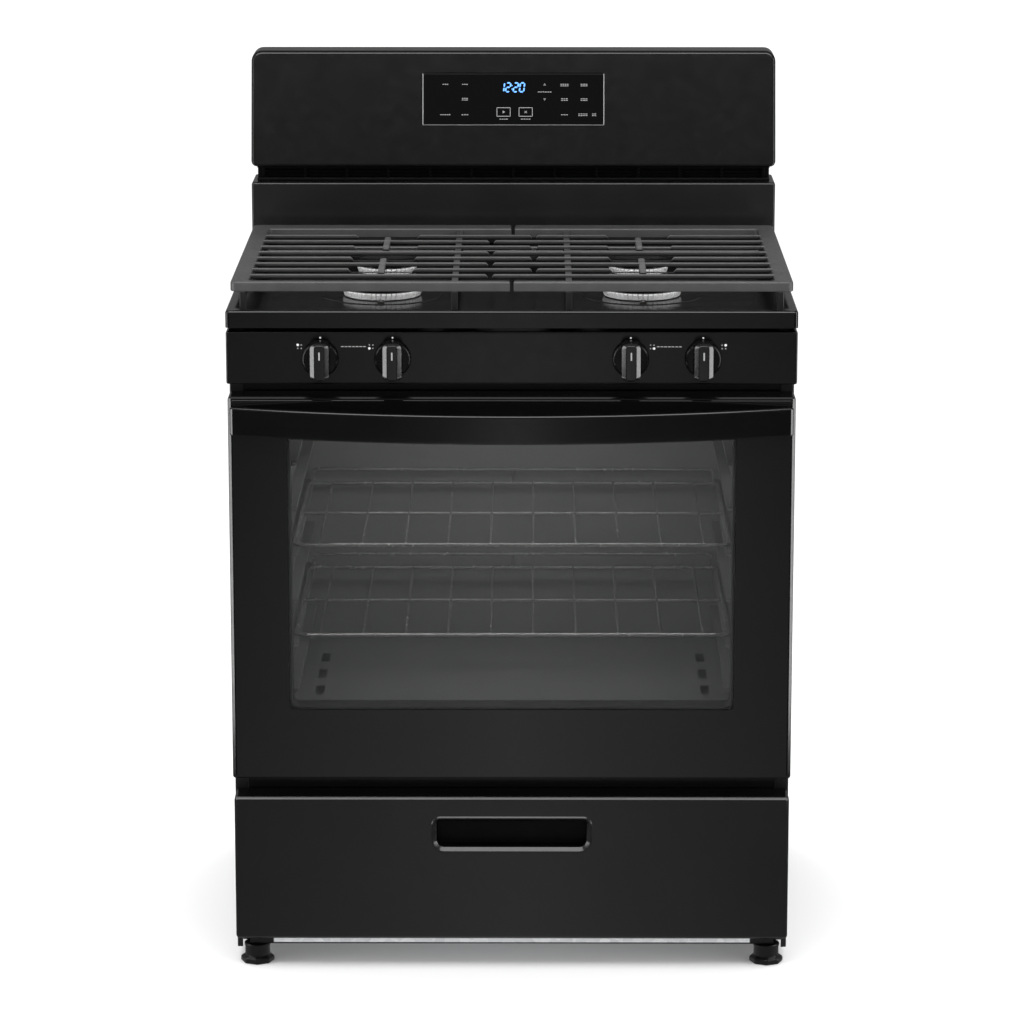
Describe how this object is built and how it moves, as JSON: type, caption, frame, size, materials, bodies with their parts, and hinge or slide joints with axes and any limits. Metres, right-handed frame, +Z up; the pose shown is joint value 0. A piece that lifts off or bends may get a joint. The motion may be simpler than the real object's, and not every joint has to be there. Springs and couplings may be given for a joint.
{
  "type": "freestanding gas range",
  "caption": "Black freestanding kitchen gas range with cast grates over open burners, a windowed drop-down oven door, a rear control console and a storage drawer.",
  "frame": {"origin": "on the floor, in the middle of the whole range's width and depth", "axes": "+Z up, -Y to the front where the door opens, +X to the right as seen from the front"},
  "size_m": [0.759, 0.735, 1.191],
  "materials": {
    "black_enamel": "gloss black enamel",
    "grey_enamel": "speckled grey porcelain enamel",
    "galvanised_steel": "galvanised sheet",
    "rack_wire": "bright nickel-plated wire",
    "cast_iron": "matt black enamelled casting",
    "aluminium": "cast, satin",
    "brass": "machined",
    "ceramic": "glazed white",
    "black_plastic": "satin black moulding",
    "black_glass": "polished, dark tint with a black printed border",
    "clear_glass": "polished",
    "gasket": "woven glass-fibre braid"
  },
  "bodies": {
    "cabinet": {"backguard_riser": "black_enamel", "bake_burner": "galvanised_steel", "base_frame": "galvanised_steel", "broil_burner": "galvanised_steel", "burner_head_front_left": "aluminium", "burner_head_front_right": "aluminium", "burner_head_rear_left": "aluminium", "burner_head_rear_right": "aluminium", "console_rear_cover": "galvanised_steel", "console_shell": "black_plastic", "cooktop": "black_enamel", "front_frame": "black_enamel", "gas_manifold": "aluminium", "gas_valve_1": "brass", "gas_valve_2": "brass", "gas_valve_3": "brass", "gas_valve_4": "brass", "manifold_panel": "black_enamel", "oven_cavity": "grey_enamel", "oven_floor": "grey_enamel", "oven_gasket": "gasket", "pressure_regulator": "aluminium", "rear_panel": "galvanised_steel", "side_panel_left": "black_enamel", "side_panel_right": "black_enamel", "spark_electrode_front_left": "ceramic", "spark_electrode_front_right": "ceramic", "spark_electrode_rear_left": "ceramic", "spark_electrode_rear_right": "ceramic", "touch_panel": "black_glass", "vent_trim": "black_plastic"},
    "door": {"door_frame": "black_enamel", "door_glass_outer": "black_glass", "door_inner_panel": "grey_enamel", "door_window_inner": "clear_glass", "door_handle": "black_enamel", "door_hinge_left": "galvanised_steel", "door_hinge_right": "galvanised_steel"},
    "drawer": {"drawer_front": "black_enamel", "drawer_box": "galvanised_steel"},
    "rack_upper": {"oven_rack_upper": "rack_wire"},
    "rack_lower": {"oven_rack_lower": "rack_wire"},
    "grate_left": {"grate_left": "cast_iron"},
    "grate_right": {"grate_right": "cast_iron"},
    "cap_front_left": {"burner_cap_front_left": "black_enamel"},
    "leg_front_left": {"leg_front_left": "black_plastic"},
    "cap_front_right": {"burner_cap_front_right": "black_enamel"},
    "leg_front_right": {"leg_front_right": "black_plastic"},
    "cap_rear_left": {"burner_cap_rear_left": "black_enamel"},
    "leg_rear_left": {"leg_rear_left": "black_plastic"},
    "cap_rear_right": {"burner_cap_rear_right": "black_enamel"},
    "leg_rear_right": {"leg_rear_right": "black_plastic"},
    "stem_1": {"valve_stem_1": "aluminium"},
    "knob_1": {"knob_1": "black_plastic"},
    "stem_2": {"valve_stem_2": "aluminium"},
    "knob_2": {"knob_2": "black_plastic"},
    "stem_3": {"valve_stem_3": "aluminium"},
    "knob_3": {"knob_3": "black_plastic"},
    "stem_4": {"valve_stem_4": "aluminium"},
    "knob_4": {"knob_4": "black_plastic"}
  },
  "joints": [
    {"name": "door_hinge", "type": "hinge", "parent": "cabinet", "child": "door", "pos_m": [0, -0.262, 0.2845], "axis": [1, 0, 0], "range_deg": [0, 90], "stiffness_Nm_per_rad": 12, "springref_deg": -57.3},
    {"name": "drawer_slide", "type": "slide", "parent": "cabinet", "child": "drawer", "axis": [0, -1, 0], "range_m": [0, 0.36]},
    {"name": "rack_upper_slide", "type": "slide", "parent": "cabinet", "child": "rack_upper", "axis": [0, -1, 0], "range_m": [0, 0.038]},
    {"name": "rack_lower_slide", "type": "slide", "parent": "cabinet", "child": "rack_lower", "axis": [0, -1, 0], "range_m": [0, 0.038]},
    {"name": "grate_left_lift", "type": "slide", "parent": "cabinet", "child": "grate_left", "axis": [0, 0, 1], "range_m": [0, 0.06]},
    {"name": "grate_right_lift", "type": "slide", "parent": "cabinet", "child": "grate_right", "axis": [0, 0, 1], "range_m": [0, 0.06]},
    {"name": "cap_front_left_lift", "type": "slide", "parent": "cabinet", "child": "cap_front_left", "axis": [0, 0, 1], "range_m": [0, 0.01]},
    {"name": "cap_front_right_lift", "type": "slide", "parent": "cabinet", "child": "cap_front_right", "axis": [0, 0, 1], "range_m": [0, 0.01]},
    {"name": "cap_rear_left_lift", "type": "slide", "parent": "cabinet", "child": "cap_rear_left", "axis": [0, 0, 1], "range_m": [0, 0.01]},
    {"name": "cap_rear_right_lift", "type": "slide", "parent": "cabinet", "child": "cap_rear_right", "axis": [0, 0, 1], "range_m": [0, 0.01]},
    {"name": "stem_1_push", "type": "slide", "parent": "cabinet", "child": "stem_1", "axis": [0, 1, 0], "range_m": [0, 0.003], "stiffness_N_per_m": 800, "springref_m": -0.001},
    {"name": "knob_1_turn", "type": "hinge", "parent": "stem_1", "child": "knob_1", "pos_m": [-0.254, -0.2875, 0.849], "axis": [0, -1, 0], "range_deg": [0, 220]},
    {"name": "stem_2_push", "type": "slide", "parent": "cabinet", "child": "stem_2", "axis": [0, 1, 0], "range_m": [0, 0.003], "stiffness_N_per_m": 800, "springref_m": -0.001},
    {"name": "knob_2_turn", "type": "hinge", "parent": "stem_2", "child": "knob_2", "pos_m": [-0.158, -0.2875, 0.849], "axis": [0, -1, 0], "range_deg": [0, 220]},
    {"name": "stem_3_push", "type": "slide", "parent": "cabinet", "child": "stem_3", "axis": [0, 1, 0], "range_m": [0, 0.003], "stiffness_N_per_m": 800, "springref_m": -0.001},
    {"name": "knob_3_turn", "type": "hinge", "parent": "stem_3", "child": "knob_3", "pos_m": [0.158, -0.2875, 0.849], "axis": [0, -1, 0], "range_deg": [0, 220]},
    {"name": "stem_4_push", "type": "slide", "parent": "cabinet", "child": "stem_4", "axis": [0, 1, 0], "range_m": [0, 0.003], "stiffness_N_per_m": 800, "springref_m": -0.001},
    {"name": "knob_4_turn", "type": "hinge", "parent": "stem_4", "child": "knob_4", "pos_m": [0.254, -0.2875, 0.849], "axis": [0, -1, 0], "range_deg": [0, 220]},
    {"name": "leg_front_left_adjust", "type": "slide", "parent": "cabinet", "child": "leg_front_left", "axis": [0, 0, -1], "range_m": [0, 0.015]},
    {"name": "leg_front_right_adjust", "type": "slide", "parent": "cabinet", "child": "leg_front_right", "axis": [0, 0, -1], "range_m": [0, 0.015]},
    {"name": "leg_rear_left_adjust", "type": "slide", "parent": "cabinet", "child": "leg_rear_left", "axis": [0, 0, -1], "range_m": [0, 0.015]},
    {"name": "leg_rear_right_adjust", "type": "slide", "parent": "cabinet", "child": "leg_rear_right", "axis": [0, 0, -1], "range_m": [0, 0.015]}
  ]
}
